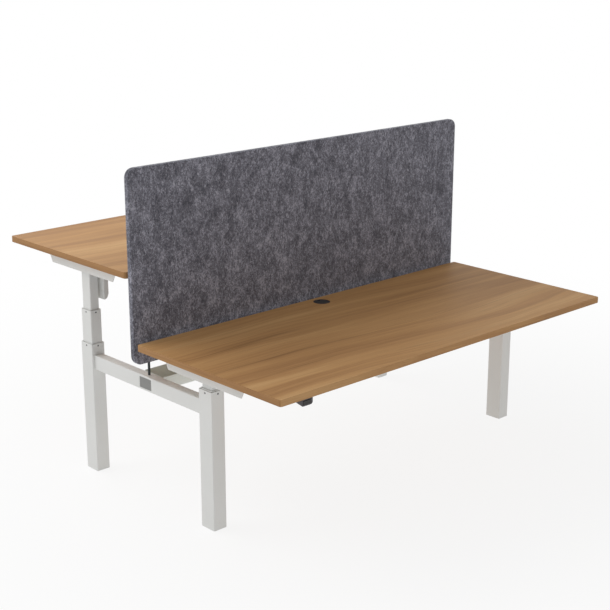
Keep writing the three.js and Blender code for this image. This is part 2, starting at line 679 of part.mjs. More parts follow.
for (const [name, outward] of [["left", -1], ["right", 1]]) {
  const end = addGroup(bench, outward * COLUMN_X, 0, 0);
  addPiece(end, `${name}_end_beam`, endBeam(outward), WHITE_POWDER);
  addPiece(end, `${name}_beam_cover`, beamCover(outward), GREY_PLASTIC);
  addPiece(end, `${name}_screen_post`, screenPost(), DARK_STEEL);
}
addPiece(bench, "cable_tray", cableTray(), WHITE_POWDER);
addPiece(bench, "screen", screen(), FELT);

export default bench;
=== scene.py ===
# A back-to-back sit-stand bench for two people, dressed in the order in which it is put together.
# Metres, +Z up: X runs along the bench and the front workplace is on the -Y side.
import math

import bmesh
import bpy
from mathutils import Matrix, Vector


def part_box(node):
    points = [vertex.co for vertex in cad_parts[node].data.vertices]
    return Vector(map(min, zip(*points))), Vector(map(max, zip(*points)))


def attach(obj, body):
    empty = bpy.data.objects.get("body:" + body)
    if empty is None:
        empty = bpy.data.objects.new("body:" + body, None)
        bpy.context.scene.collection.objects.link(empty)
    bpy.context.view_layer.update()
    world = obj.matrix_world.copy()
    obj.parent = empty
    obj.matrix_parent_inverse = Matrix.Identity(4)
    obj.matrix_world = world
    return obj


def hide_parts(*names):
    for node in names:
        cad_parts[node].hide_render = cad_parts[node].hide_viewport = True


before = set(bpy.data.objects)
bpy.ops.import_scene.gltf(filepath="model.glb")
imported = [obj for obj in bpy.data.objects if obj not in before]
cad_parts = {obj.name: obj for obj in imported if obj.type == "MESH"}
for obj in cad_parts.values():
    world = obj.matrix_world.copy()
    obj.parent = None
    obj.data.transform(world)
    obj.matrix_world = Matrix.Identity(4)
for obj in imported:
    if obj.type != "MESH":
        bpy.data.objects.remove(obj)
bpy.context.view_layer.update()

# Camera. It stands off the front left corner of the bench and looks down its length, with the place
# and the lens worked out from the straight edges of the worktops, the screen and the columns.
CAMERA_PLACE = (-3.6046, -3.8442, 2.1770)
CAMERA_TURN = math.radians(43.044)
CAMERA_DIP = math.radians(16.546)
CAMERA_LENS = 77.26
CAMERA_SENSOR = 36

camera = bpy.data.objects.new("camera", bpy.data.cameras.new("camera"))
camera.data.lens = CAMERA_LENS
camera.data.sensor_width = CAMERA_SENSOR
camera.location = CAMERA_PLACE
camera.rotation_euler = (math.pi / 2 - CAMERA_DIP, 0, -CAMERA_TURN)
bpy.context.scene.collection.objects.link(camera)
bpy.context.scene.camera = camera
bpy.context.scene.view_settings.view_transform = "Standard"


# Studio. A pale floor in an even white room, lit by one large soft lamp high up behind the left end,
# so that the bench stands on white with only a faint shadow to its right.
ROOM_LIGHT = 0.48
LAMP_PLACE = Vector((-2.0, 3.6, 4.4))
LAMP_AIM = Vector((0, 0, 0.6))
LAMP_WIDTH = 7
LAMP_HEIGHT = 3
LAMP_POWER = 185
FLOOR_REACH = 60
FLOOR_COLOUR = (0.93, 0.93, 0.93, 1)
FLOOR_GLOW = 0.6
SEEN_GLOW = 0.85
SHADOW_REACH = 1.0
SHADOW_FADE = 2.4


class Value:
    """One output of a finish's nodes, which can be added, multiplied and so on."""

    def __init__(self, look, socket):
        self.look = look
        self.socket = socket

    def math(self, operation, *values):
        return self.look.node("ShaderNodeMath", {"operation": operation}, dict(enumerate(values)))

    def __add__(self, other):
        return self.math("ADD", self, other)

    def __sub__(self, other):
        return self.math("SUBTRACT", self, other)

    def __mul__(self, other):
        return self.math("MULTIPLY", self, other)

    __radd__ = __add__
    __rmul__ = __mul__

    def between(self, low, high):
        """0 below low, 1 above high and smooth from one to the other."""
        sockets = {"Value": self, "From Min": low, "From Max": high}
        return self.look.node("ShaderNodeMapRange", {"interpolation_type": "SMOOTHSTEP"}, sockets)


class Look:
    """The nodes of one finish, of the floor or of the room."""

    def __init__(self, owner):
        owner.use_nodes = True
        self.tree = owner.node_tree
        self.owner = owner

    def feed(self, socket, value):
        if isinstance(value, Value):
            self.tree.links.new(value.socket, socket)
        else:
            socket.default_value = value

    def node(self, kind, settings=None, sockets=None, output=0):
        made = self.tree.nodes.new(kind)
        for name, value in (settings or {}).items():
            if name == "stops":
                for index, (place, colour) in enumerate(value):
                    elements = made.color_ramp.elements
                    stop = elements[index] if index < 2 else elements.new(place)
                    stop.position = place
                    stop.color = colour
            else:
                setattr(made, name, value)
        for name, value in (sockets or {}).items():
            self.feed(made.inputs[name], value)
        return Value(self, made.outputs[output])

    def place(self):
        return self.node("ShaderNodeTexCoord", output="Object")

    def stretched(self, vector, *scale):
        return self.node("ShaderNodeVectorMath", {"operation": "MULTIPLY"}, {0: vector, 1: scale})

    def part(self, vector, axis):
        return self.node("ShaderNodeSeparateXYZ", sockets={0: vector}, output=axis)

    def vector(self, x, y, z):
        return self.node("ShaderNodeCombineXYZ", sockets={"X": x, "Y": y, "Z": z})

    def noise(self, vector, scale, detail=2.0, roughness=0.5, distortion=0.0):
        sockets = {"Vector": vector, "Scale": scale, "Detail": detail}
        sockets.update({"Roughness": roughness, "Distortion": distortion})
        return self.node("ShaderNodeTexNoise", sockets=sockets)

    def mix(self, share, first, second, way="MIX"):
        settings = {"data_type": "RGBA", "blend_type": way}
        return self.node("ShaderNodeMix", settings, {0: share, 6: first, 7: second}, output=2)

    def ramp(self, value, *stops):
        return self.node("ShaderNodeValToRGB", {"stops": stops}, {"Fac": value})

    def bump(self, height, strength, distance):
        sockets = {"Height": height, "Strength": strength, "Distance": distance}
        return self.node("ShaderNodeBump", sockets=sockets)

    def seen(self):
        """1 where the camera sees the surface, by itself or in a reflection or through glass."""
        paths = self.tree.nodes.new("ShaderNodeLightPath")
        rays = ("Is Camera Ray", "Is Glossy Ray", "Is Transmission Ray")
        camera_ray, glossy_ray, transmission_ray = (Value(self, paths.outputs[ray]) for ray in rays)
        return camera_ray.math("MINIMUM", camera_ray + glossy_ray + transmission_ray, 1)


room = bpy.data.worlds.new("room")
bpy.context.scene.world = room
sky = Look(room)
sky.feed(room.node_tree.nodes["Background"].inputs["Color"], (1, 1, 1, 1))
sky.feed(room.node_tree.nodes["Background"].inputs["Strength"], sky.seen() * (1 - ROOM_LIGHT) + ROOM_LIGHT)

lamp = bpy.data.objects.new("lamp", bpy.data.lights.new("lamp", "AREA"))
lamp.data.energy = LAMP_POWER
lamp.data.shape = "RECTANGLE"
lamp.data.size = LAMP_WIDTH
lamp.data.size_y = LAMP_HEIGHT
lamp.location = LAMP_PLACE
lamp.rotation_euler = (LAMP_AIM - LAMP_PLACE).to_track_quat("-Z", "Y").to_euler()
bpy.context.scene.collection.objects.link(lamp)

ground = Look(bpy.data.materials.new("pale_floor"))
paint = ground.tree.nodes["Principled BSDF"]
ground.feed(paint.inputs["Base Color"], FLOOR_COLOUR)
ground.feed(paint.inputs["Roughness"], 0.9)
ground.feed(paint.inputs["Specular IOR Level"], 0.0)
flat_place = ground.stretched(ground.place(), 1, 1, 0)
off_centre = ground.node("ShaderNodeVectorMath", {"operation": "LENGTH"}, {0: flat_place}, "Value")
far_share = off_centre.between(SHADOW_REACH, SHADOW_REACH + SHADOW_FADE)
near_glow = SEEN_GLOW + far_share * (1 - SEEN_GLOW)
glow_share = FLOOR_GLOW + ground.seen() * (near_glow - FLOOR_GLOW)
glow = ground.node("ShaderNodeEmission", sockets={"Color": (1, 1, 1, 1), "Strength": 1.0})
painted = Value(ground, paint.outputs["BSDF"])
floor_shader = ground.node("ShaderNodeMixShader", sockets={0: glow_share, 1: painted, 2: glow})
ground.feed(ground.tree.nodes["Material Output"].inputs["Surface"], floor_shader)

floor_mesh = bpy.data.meshes.new("floor")
corners = [(x * FLOOR_REACH, y * FLOOR_REACH, 0) for x, y in ((-1, -1), (1, -1), (1, 1), (-1, 1))]
floor_mesh.from_pydata(corners, [], [(0, 1, 2, 3)])
floor_mesh.materials.append(ground.owner)
floor = bpy.data.objects.new("floor", floor_mesh)
bpy.context.scene.collection.objects.link(floor)


# Levelling feet. A black moulded pad on a threaded stud, screwed into the base plate of each column
# so that the bench stands level.
PAD_HEIGHT = 0.003
PAD_EDGE = 0.0012
STUD_RADIUS = 0.004
THREAD_PITCH = 0.00125
THREAD_DEPTH = 0.0006
SHARP = math.radians(38)
SOFT = 0.3


def srgb(red, green, blue):
    """A colour given as on a screen, from 0 to 255, in the linear form that a finish takes."""
    def linear(part):
        part = part / 255
        return part / 12.92 if part <= 0.04045 else ((part + 0.055) / 1.055) ** 2.4
    return (linear(red), linear(green), linear(blue), 1)


def finish(name, **sockets):
    """A new finish and the means to set its shader's sockets later."""
    look = Look(bpy.data.materials.new(name))
    shade(look, **sockets)
    return look


def shade(look, **sockets):
    """Sets sockets of a finish's shader, named with _ for each space."""
    shader = look.tree.nodes["Principled BSDF"]
    for name, value in sockets.items():
        look.feed(shader.inputs[name.replace("_", " ")], value)


def moulded_plastic(name, colour, roughness, grain=1500, depth=0.00012):
    """Moulded plastic with a fine spark-eroded grain and a slightly uneven tone."""
    look = finish(name)
    place = look.place()
    fine = look.noise(place, grain, 3.0, 0.6)
    cloud = look.noise(place, 26, 3.0)
    dark = tuple(0.82 * part for part in colour[:3]) + (1,)
    light = tuple(1.18 * part for part in colour[:3]) + (1,)
    tone = look.mix(cloud * 0.55 + fine * 0.45, dark, light)
    shade(look, Base_Color=tone, Roughness=roughness - 0.1 + fine * 0.2, Normal=look.bump(fine, 0.5, depth))
    return look.owner


def skin(rings, closed=False):
    """A mesh whose surface runs through rings of points, closed on itself or capped at both ends."""
    mesh = bmesh.new()
    rows = [[mesh.verts.new(point) for point in ring] for ring in rings]
    pairs = list(zip(rows, rows[1:]))
    if closed:
        pairs.append((rows[-1], rows[0]))
    else:
        mesh.faces.new(rows[0])
        mesh.faces.new(rows[-1])
    for low, high in pairs:
        for here in range(len(low)):
            after = (here + 1) % len(low)
            mesh.faces.new((low[here], low[after], high[after], high[here]))
    bmesh.ops.recalc_face_normals(mesh, faces=mesh.faces)
    return mesh


def turned(profile, steps=40, closed=False):
    """A piece turned about Z, from points of radius and height that run upwards."""
    angles = [2 * math.pi * step / steps for step in range(steps)]
    circle = [(math.cos(angle), math.sin(angle)) for angle in angles]
    return skin([[(r * x, r * y, z) for x, y in circle] for r, z in profile], closed)


def fit(name, mesh, look, body, move=Matrix.Identity(4), node=None):
    """Puts a finished mesh into the bench: its name, finish, body and the node it stands for."""
    mesh.transform(move)
    if move.determinant() < 0:
        bmesh.ops.reverse_faces(mesh, faces=mesh.faces)
    for face in mesh.faces:
        face.smooth = True
    for edge in mesh.edges:
        edge.smooth = edge.is_manifold and edge.calc_face_angle() < SHARP
    data = bpy.data.meshes.new(name)
    mesh.to_mesh(data)
    mesh.free()
    data.materials.append(look)
    piece = bpy.data.objects.new(name, data)
    bpy.context.scene.collection.objects.link(piece)
    piece.modifiers.new("even_faces", "WEIGHTED_NORMAL").keep_sharp = True
    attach(piece, body)
    if node:
        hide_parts(node)
    return piece


def column_places():
    """Each column's name, desk and frame: its axis on the floor, +X inwards and -Y to the user."""
    for name, half_turns, inward in (("front_left", 0, 1), ("front_right", 0, -1),
                                     ("rear_right", 1, 1), ("rear_left", 1, -1)):
        low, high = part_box(f"{name}_outer_tube")
        centre = (low + high) / 2
        turn = Matrix.Rotation(half_turns * math.pi, 4, "Z")
        mirror = Matrix.Diagonal((inward, 1, 1, 1))
        yield name, name.split("_")[0], Matrix.Translation((centre.x, centre.y, 0)) @ turn @ mirror


black_plastic = moulded_plastic("black_moulded_plastic", srgb(44, 42, 40), 0.5)

for column, desk, column_frame in column_places():
    low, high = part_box(f"{column}_levelling_foot")
    pad = (high.x - low.x) / 2
    profile = [
        (pad - PAD_EDGE, low.z),
        (pad - SOFT * PAD_EDGE, low.z + SOFT * PAD_EDGE),
        (pad, low.z + PAD_EDGE),
        (pad, PAD_HEIGHT - PAD_EDGE / 2),
        (pad - PAD_EDGE / 2, PAD_HEIGHT),
        (STUD_RADIUS, PAD_HEIGHT),
    ]
    turns = int((high.z - PAD_HEIGHT) / THREAD_PITCH) - 1
    for turn in range(turns):
        height = PAD_HEIGHT + (turn + 1) * THREAD_PITCH
        profile.append((STUD_RADIUS - THREAD_DEPTH, height - THREAD_PITCH / 2))
        profile.append((STUD_RADIUS, height))
    profile.append((STUD_RADIUS - THREAD_DEPTH, high.z))
    fit(f"{column}_foot", turned(profile), black_plastic, f"{column}_foot",
        column_frame, f"{column}_levelling_foot")


# Outer column tubes. Rolled steel box section with a welded base plate, coated in fine white powder,
# with a round hole in each wall near the top that holds the collar inside.
TUBE_WALL = 0.002
TUBE_CORNER = 0.004
TUBE_EDGE = 0.0006
LEAST_CORNER = 0.0005
BASE_PLATE = 0.008
STUD_HOLE = 0.0043
PIN_SIDES = 28
BOSS_RADIUS = 0.0035
BOSS_GAP = 0.0003
BOSS_DROP = 0.0095


def powder_coat(name, dark, light):
    """Powder coat: a faint orange peel, a satin gloss and a slightly uneven tone."""
    look = finish(name, Coat_Weight=0.12, Coat_Roughness=0.35)
    place = look.place()
    peel = look.noise(place, 700, 2.0, 0.55)
    drift = look.noise(place, 5, 3.0)
    speckled = look.mix(drift * 0.8 + peel * 0.2, dark, light)
    shade(look, Base_Color=speckled, Roughness=0.42 + peel * 0.14, Normal=look.bump(peel, 0.35, 0.00012))
    return look.owner


def outline(width, depth, radius, steps=6, left_radius=None):
    """Points of a rectangle with round corners, centred, counter-clockwise."""
    left = radius if left_radius is None else left_radius
    corners = ((1, -1, radius), (1, 1, radius), (-1, 1, left), (-1, -1, left))
    points = []
    for corner, (side, end, turn) in enumerate(corners):
        for step in range(steps + 1):
            angle = (corner - 1 + step / steps) * math.pi / 2
            points.append((side * (width / 2 - turn) + turn * math.cos(angle),
                           end * (depth / 2 - turn) + turn * math.sin(angle)))
    return points


def rounded(low, high, thickness, edge):
    """A wall's section as insets and heights, with all four of its edges rounded."""
    soft = SOFT * edge
    outside = [(edge, low), (soft, low + soft), (0, low + edge),
               (0, high - edge), (soft, high - soft), (edge, high)]
    return outside + [(thickness - inset, height) for inset, height in reversed(outside)]


def box_tube(width, depth, corner, low, high, wall, edge):
    """An upright hollow box section with round corners and softened ends."""
    rings = []
    for inset, height in rounded(low, high, wall, edge):
        radius = max(corner - inset, LEAST_CORNER)
        rings.append([(x, y, height) for x, y in outline(width - 2 * inset, depth - 2 * inset, radius)])
    return skin(rings, closed=True)


def slab(width, depth, corner, low, high, edge):
    """A solid upright bar or plate with round corners and softened edges."""
    soft = SOFT * edge
    rings = []
    for inset, height in ((edge, low), (soft, low + soft), (0, low + edge),
                          (0, high - edge), (soft, high - soft), (edge, high)):
        radius = max(corner - inset, LEAST_CORNER)
        rings.append([(x, y, height) for x, y in outline(width - 2 * inset, depth - 2 * inset, radius)])
    return skin(rings)


def solid_change(mesh, operation, tools):
    """Joins or cuts a mesh with others and gives back the result."""
    base = bpy.data.objects.new("base", bpy.data.meshes.new("base"))
    mesh.to_mesh(base.data)
    mesh.free()
    made = [base]
    for tool in tools:
        other = bpy.data.objects.new("tool", bpy.data.meshes.new("tool"))
        tool.to_mesh(other.data)
        tool.free()
        made.append(other)
        change = base.modifiers.new("change", "BOOLEAN")
        change.operation = operation
        change.solver = "EXACT"
        change.object = other
    for thing in made:
        bpy.context.scene.collection.objects.link(thing)
    result = bmesh.new()
    result.from_object(base, bpy.context.evaluated_depsgraph_get())
    for thing in made:
        data = thing.data
        bpy.data.objects.remove(thing)
        bpy.data.meshes.remove(data)
    return result


def cut(mesh, *tools):
    return solid_change(mesh, "DIFFERENCE", tools)


def join(mesh, *others):
    return solid_change(mesh, "UNION", others)


def along(axis):
    """The turn that points a piece drawn about Z along an axis."""
    return Vector(axis).to_track_quat("Z", "Y").to_matrix().to_4x4()


def pin(radius, length, centre, axis, steps=PIN_SIDES):
    """A plain round bar, used to drill holes and as the core of small bosses."""
    mesh = turned([(radius, -length / 2), (radius, length / 2)], steps)
    mesh.transform(Matrix.Translation(centre) @ along(axis))
    return mesh


def boss_drills(width, depth, top):
    """The drill bars for a stage's four boss holes."""
    centre = (0, 0, top - BOSS_DROP)
    radius = BOSS_RADIUS + BOSS_GAP
    return pin(radius, 2 * width, centre, (1, 0, 0)), pin(radius, 2 * depth, centre, (0, 1, 0))


white_powder = powder_coat("white_powder_coat", srgb(219, 220, 217), srgb(231, 231, 229))

for column, desk, column_frame in column_places():
    low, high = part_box(f"{column}_outer_tube")
    width = high.x - low.x
    depth = high.y - low.y
    tube = box_tube(width, depth, TUBE_CORNER, low.z, high.z, TUBE_WALL, TUBE_EDGE)
    tube = cut(tube, *boss_drills(width, depth, high.z))
    plate = slab(width - TUBE_WALL, depth - TUBE_WALL, TUBE_CORNER - TUBE_WALL / 2,
                 low.z + TUBE_EDGE, low.z + BASE_PLATE, TUBE_EDGE / 2)
    plate = cut(plate, pin(STUD_HOLE, 4 * BASE_PLATE, (0, 0, low.z), (0, 0, 1)))
    fit(f"{column}_outer_column", join(tube, plate), white_powder, "frame",
        column_frame, f"{column}_outer_tube")


# Glides. Light grey moulded collars pressed into the top of the outer and the middle tubes, where the
# next stage slides through them. Their round bosses snap into the wall holes and show as dark dots:
# their dark grey is painted shade of the holes.
GLIDE_EDGE = 0.0005
BOSS_DIMPLE = 0.0016
NEXT_STAGE_STEP = 0.01
SLIDE_GAP = 0.0003
BOSS_BITE = 0.0005

glide_plastic = moulded_plastic("light_glide_plastic", srgb(196, 197, 197), 0.45)
boss_shade_finish = moulded_plastic("boss_painted_shade", srgb(84, 84, 86), 0.45)


def boss(reach, seat, height):
    """A boss along +X, from inside the collar's wall to just under the tube's face, with a dimple."""
    profile = [
        (BOSS_RADIUS, seat),
        (BOSS_RADIUS, reach - GLIDE_EDGE),
        (BOSS_RADIUS - GLIDE_EDGE, reach),
        (BOSS_DIMPLE, reach),
        (BOSS_DIMPLE / 2, reach - BOSS_DIMPLE / 2),
    ]
    mesh = turned(profile, PIN_SIDES)
    mesh.transform(Matrix.Translation((0, 0, height)) @ along((1, 0, 0)))
    return mesh


for column, desk, column_frame in column_places():
    for stage, body in (("outer", "frame"), ("middle", f"{desk}_middle_stage")):
        low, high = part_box(f"{column}_{stage}_glide")
        tube_low, tube_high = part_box(f"{column}_{stage}_tube")
        reach = (high - low) / 2
        width = tube_high.x - tube_low.x - 2 * (TUBE_WALL + SLIDE_GAP)
        depth = tube_high.y - tube_low.y - 2 * (TUBE_WALL + SLIDE_GAP)
        wall = (NEXT_STAGE_STEP - 2 * TUBE_WALL) / 2 - 2 * SLIDE_GAP
        collar = box_tube(width, depth, TUBE_CORNER, low.z, high.z, wall, GLIDE_EDGE)
        bosses = []
        for quarter in range(4):
            across = width if quarter % 2 == 0 else depth
            far = reach.x if quarter % 2 == 0 else reach.y
            knob = boss(far, across / 2 - BOSS_BITE, tube_high.z - BOSS_DROP)
            knob.transform(Matrix.Rotation(quarter * math.pi / 2, 4, "Z"))
            bosses.append(knob)
        ring = fit(f"{column}_{stage}_collar", join(collar, *bosses), glide_plastic, body,
                   column_frame, f"{column}_{stage}_glide")
        # The bosses take the dark finish, which is painted shade of the wall holes they sit in.
        ring.data.materials.append(boss_shade_finish)
        for face in ring.data.polygons:
            spot = column_frame.inverted() @ face.center
            on_boss = abs(spot.x) > width / 2 + SLIDE_GAP / 4 or abs(spot.y) > depth / 2 + SLIDE_GAP / 4
            face.material_index = 1 if on_boss else 0


# End beams. Box section across the bench between the two columns of each end, coated with the columns,
# with a window in the outer face and a hole on top for the screen's post.
BEAM_WALL = 0.0025
BEAM_EDGE = 0.0006
WINDOW_LENGTH = 0.073
WINDOW_CORNER = 0.002
POST_GAP = 0.0003

# A bar drawn upright is laid along X or Y by one of these turns, its width and depth first.
LAID_ALONG_Y = Matrix.Rotation(math.pi / 2, 4, "X") @ Matrix.Rotation(math.pi, 4, "Z")
LAID_ALONG_X = Matrix.Rotation(math.pi / 2, 4, "Z") @ LAID_ALONG_Y


def laid(mesh, turn, centre):
    """A mesh drawn about Z, turned onto its side and brought to its centre."""
    mesh.transform(Matrix.Translation(centre) @ turn)
    return mesh


for end in ("left", "right"):
    low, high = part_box(f"{end}_end_beam")
    size = high - low
    centre = (low + high) / 2
    cover_low, cover_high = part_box(f"{end}_beam_cover")
    post_low, post_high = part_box(f"{end}_screen_post")
    window_height = cover_high.z - cover_low.z + 2 * POST_GAP
    beam = laid(box_tube(size.x, size.z, TUBE_CORNER, -size.y / 2, size.y / 2, BEAM_WALL, BEAM_EDGE),
                LAID_ALONG_Y, centre)
    window = slab(WINDOW_LENGTH, window_height, WINDOW_CORNER, -2 * BEAM_WALL, 2 * BEAM_WALL, BEAM_EDGE / 8)
    face = Vector((low.x if end == "left" else high.x, centre.y, centre.z))
    post_radius = (post_high.x - post_low.x) / 2 + POST_GAP
    drill = pin(post_radius, size.z, Vector((centre.x, centre.y, high.z)), (0, 0, 1))
    beam = cut(beam, laid(window, LAID_ALONG_X, face), drill)
    fit(f"{end}_cross_beam", beam, white_powder, "frame", node=f"{end}_end_beam")


# Beam covers. A grey moulded plate with a coarse grain that snaps into the window of each end beam.
# It closes the beam where cables can be led through it.
COVER_EDGE = 0.0008

grey_plastic = moulded_plastic("grey_cover_plastic", srgb(140, 140, 138), 0.65, 420, 0.0004)

for end in ("left", "right"):
    low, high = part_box(f"{end}_beam_cover")
    beam_low, beam_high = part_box(f"{end}_end_beam")
    centre = (beam_low + beam_high) / 2
    middle_x = low.x + BEAM_WALL if end == "left" else high.x - BEAM_WALL
    length = WINDOW_LENGTH - 2 * POST_GAP
    cover = slab(length, high.z - low.z, WINDOW_CORNER, -BEAM_WALL, BEAM_WALL, COVER_EDGE)
    cover = laid(cover, LAID_ALONG_X, Vector((middle_x, centre.y, centre.z)))
    fit(f"{end}_window_cover", cover, grey_plastic, "frame", node=f"{end}_beam_cover")


# Cable tray. A folded sheet steel trough along the bench, hung between the two end beams and open on
# top. Its coat is lighter and greener than the frame's: partly a tone of its own, and partly painted
# light that brightens the shaded inside of the trough.
TRAY_SHEET = 0.002
TRAY_BEND = 0.005
BEND_STEPS = 4
RIM_SOFT = 0.15


def bend(radius, inset, height, steps=BEND_STEPS):
    """A quarter round from a level face into an upright one, as insets and heights, going up."""
    quarter = [step / steps * math.pi / 2 for step in range(steps + 1)]
    return [(inset + radius * (1 - math.sin(a)), height + radius * (1 - math.cos(a))) for a in quarter]


def pan(width, depth, corner, low, high, sheet, radius):
    """An open folded pan with round bends and a soft rim."""
    soft = RIM_SOFT * sheet
    outside = bend(radius, 0, low) + [(0, high - sheet / 2)]
    rim = [(soft, high - soft), (sheet / 2, high), (sheet - soft, high - soft)]
    inside = [(sheet, high - sheet / 2)] + list(reversed(bend(radius - sheet, sheet, low + sheet)))
    rings = []
    for inset, height in outside + rim + inside:
        ring = outline(width - 2 * inset, depth - 2 * inset, max(corner - inset, LEAST_CORNER))
        rings.append([(x, y, height) for x, y in ring])
    return skin(rings)


# Lighter than the frame's coat, partly as painted light for the trough's shaded inside.
lightened_tray_powder = powder_coat("tray_powder_coat", srgb(230, 238, 233), srgb(242, 247, 243))

low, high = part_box("cable_tray")
size = high - low
tray = pan(size.y, size.x, TRAY_BEND, low.z, high.z, TRAY_SHEET, TRAY_BEND)
fit("cable_trough", tray, lightened_tray_powder, "frame",
    Matrix.Rotation(math.pi / 2, 4, "Z"), "cable_tray")


# Screen posts. Dark coated steel rods, chamfered at both ends, that stand in the holes of the end beams
# and reach up into the screen to carry it.
POST_EDGE = 0.001

post_look = finish("dark_post_coat", Metallic=0.55)
post_grain = post_look.noise(post_look.stretched(post_look.place(), 1, 1, 0.04), 900, 3.0)
shade(post_look, Base_Color=post_look.mix(post_grain, srgb(46, 50, 52), srgb(66, 71, 73)),
      Roughness=0.34 + post_grain * 0.18, Normal=post_look.bump(post_grain, 0.2, 0.0001))

for end in ("left", "right"):
    low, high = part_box(f"{end}_screen_post")
    radius = (high.x - low.x) / 2
    rod = turned([(radius - POST_EDGE, low.z), (radius, low.z + POST_EDGE),
                  (radius, high.z - POST_EDGE), (radius - POST_EDGE, high.z)])
    centre = (low + high) / 2
    fit(f"{end}_post_rod", rod, post_look.owner, "frame",
        Matrix.Translation((centre.x, centre.y, 0)), f"{end}_screen_post")


# Screen. A board of pressed fibre felt with round corners, moulded from two skins that meet in a fine
# seam round its edge, and carried on the two posts.
SCREEN_CORNER = 0.035
SCREEN_EDGE = 0.004
SEAM_DEPTH = 0.0007
SEAM_WIDTH = 0.0012
SCREEN_CORNER_STEPS = 12


def felt():
    """Pressed felt: dark and pale fibres in clumps that mostly hang down, with a soft fuzz."""
    look = finish("grey_felt", Sheen_Weight=0.2, Sheen_Roughness=0.6, Specular_IOR_Level=0.15)
    place = look.place()
    clouds = look.noise(look.stretched(place, 1, 1, 0.7), 16, 3.0, 0.55, 0.8)
    clumps = look.noise(look.stretched(place, 1, 1, 0.6), 62, 4.0, 0.62, 0.8)
    tufts = look.noise(look.stretched(place, 1, 1, 0.7), 170, 4.0, 0.65, 0.9)
    hanging = look.noise(look.stretched(place, 1, 1, 0.2), 420, 3.0, 0.6, 2.2)
    crossing = look.noise(look.stretched(place, 0.25, 1, 1), 420, 3.0, 0.6, 2.8)
    fuzz = look.noise(place, 900, 3.0, 0.7)
    mottle = clouds * 0.15 + clumps * 0.23 + tufts * 0.34 + hanging * 0.16 + crossing * 0.12
    colour = look.ramp(mottle.between(0.415, 0.585), (0.0, srgb(66, 66, 75)), (0.36, srgb(101, 101, 111)),
                       (0.7, srgb(127, 127, 138)), (1.0, srgb(174, 174, 186)))
    colour = look.mix(fuzz * 0.14, colour, srgb(136, 135, 144))
    height = tufts * 0.45 + hanging * 0.3 + crossing * 0.15 + fuzz * 0.1
    shade(look, Base_Color=colour, Roughness=0.95, Normal=look.bump(height, 0.8, 0.0015))
    return look.owner


low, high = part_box("screen")
size = high - low
half = size.y / 2
soft = SOFT * SCREEN_EDGE
section = [(SCREEN_EDGE, -half), (soft, soft - half), (0, SCREEN_EDGE - half),
           (0, -SEAM_WIDTH), (SEAM_DEPTH, 0), (0, SEAM_WIDTH),
           (0, half - SCREEN_EDGE), (soft, half - soft), (SCREEN_EDGE, half)]
rings = []
for inset, across in section:
    ring = outline(size.x - 2 * inset, size.z - 2 * inset, SCREEN_CORNER - inset, SCREEN_CORNER_STEPS)
    rings.append([(x, y, across) for x, y in ring])
board = laid(skin(rings), LAID_ALONG_Y, (low + high) / 2)
fit("felt_screen", board, felt(), "frame", node="screen")


# Middle column tubes. The second stage of each column, a step smaller all round than the first, which
# slides in the first stage's collar.
for column, desk, column_frame in column_places():
    low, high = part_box(f"{column}_middle_tube")
    width = high.x - low.x
    depth = high.y - low.y
    tube = box_tube(width, depth, TUBE_CORNER, low.z, high.z, TUBE_WALL, TUBE_EDGE)
    tube = cut(tube, *boss_drills(width, depth, high.z))
    fit(f"{column}_middle_column", tube, white_powder, f"{desk}_middle_stage",
        column_frame, f"{column}_middle_tube")


# Lift spindles. Bright rolled screws that turn inside the columns and hang from the gearboxes by a
# collar under the head plate.
SPINDLE_RADIUS = 0.006
SPINDLE_LEAD = 0.008
SPINDLE_ROOT = 0.0052
THRUST_COLLAR = 0.006
COLLAR_RADIUS = 0.01
SPINDLE_SIDES = 16
STEPS_A_TURN = 6
CREST_WIDTH = 1.6
HEAD_PLATE = 0.005

steel_look = finish("rolled_steel", Metallic=0.9)
steel_grain = steel_look.noise(steel_look.stretched(steel_look.place(), 1, 1, 8), 160, 3.0)
shade(steel_look, Base_Color=steel_look.mix(steel_grain, srgb(150, 152, 155), srgb(190, 192, 195)),
      Roughness=0.24 + steel_grain * 0.2)

for column, desk, column_frame in column_places():
    low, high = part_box(f"{column}_lift_spindle")
    tube_low, tube_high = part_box(f"{column}_inner_tube")
    collar_top = tube_high.z - HEAD_PLATE - BOSS_GAP
    collar_low = collar_top - THRUST_COLLAR
    angles = [2 * math.pi * side / SPINDLE_SIDES for side in range(SPINDLE_SIDES)]
    rings = []
    for level in range(int((collar_low - low.z) / SPINDLE_LEAD * STEPS_A_TURN)):
        height = low.z + level * SPINDLE_LEAD / STEPS_A_TURN
        ring = []
        for angle in angles:
            crest = 0.5 + 0.5 * math.cos(angle - 2 * math.pi * level / STEPS_A_TURN)
            radius = SPINDLE_ROOT + (SPINDLE_RADIUS - SPINDLE_ROOT) * min(1, CREST_WIDTH * crest)
            ring.append((radius * math.cos(angle), radius * math.sin(angle), height))
        rings.append(ring)
    collar = [(SPINDLE_RADIUS, collar_low), (COLLAR_RADIUS, collar_low), (COLLAR_RADIUS, collar_top),
              (SPINDLE_RADIUS, collar_top), (SPINDLE_RADIUS, high.z)]
    for radius, height in collar:
        rings.append([(radius * math.cos(angle), radius * math.sin(angle), height) for angle in angles])
    fit(f"{column}_lift_screw", skin(rings), steel_look.owner, f"{column}_spindle",
        column_frame, f"{column}_lift_spindle")


# Inner column tubes. The last stage of each column, welded to a head plate that bolts inside the
# crossbar and is notched for the motor.
HEAD_EDGE = 0.0008
MOTOR_GAP = 0.001

